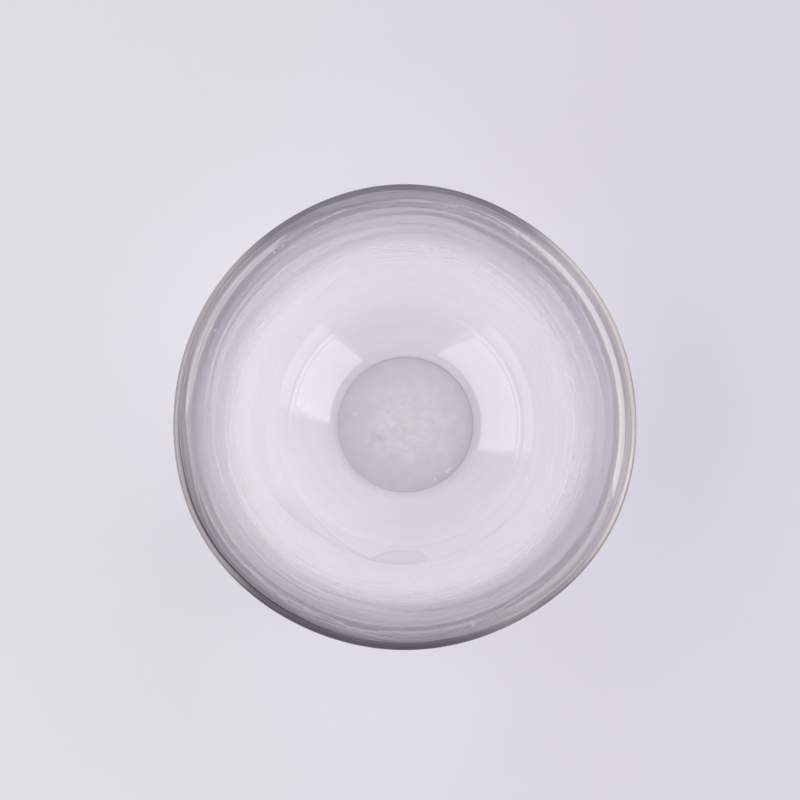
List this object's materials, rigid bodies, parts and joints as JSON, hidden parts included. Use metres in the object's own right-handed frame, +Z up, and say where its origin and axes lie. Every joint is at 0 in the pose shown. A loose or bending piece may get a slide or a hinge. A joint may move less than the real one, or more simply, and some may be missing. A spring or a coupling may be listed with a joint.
{
  "type": "glass tealight holder",
  "caption": "Open blown-glass bowl for a tealight, with a flared lip, a round foot and a thin pad under it.",
  "frame": {"origin": "centre of the pad's underside, on the surface that the holder stands on", "axes": "+Z up along the bowl's axis, -Y towards the side that the picture is taken from, +X to the right in the picture"},
  "size_m": [0.1294, 0.1305, 0.05],
  "materials": {
    "brushed_glass": "glossy, with a grey brushed colour fired on, denser towards the rim",
    "foot_glass": "satin, ground underside",
    "pad": "matt, pale grey"
  },
  "bodies": {
    "root": {"glass_bowl": "brushed_glass", "glass_foot": "foot_glass", "foot_pad": "pad"}
  },
  "joints": []
}
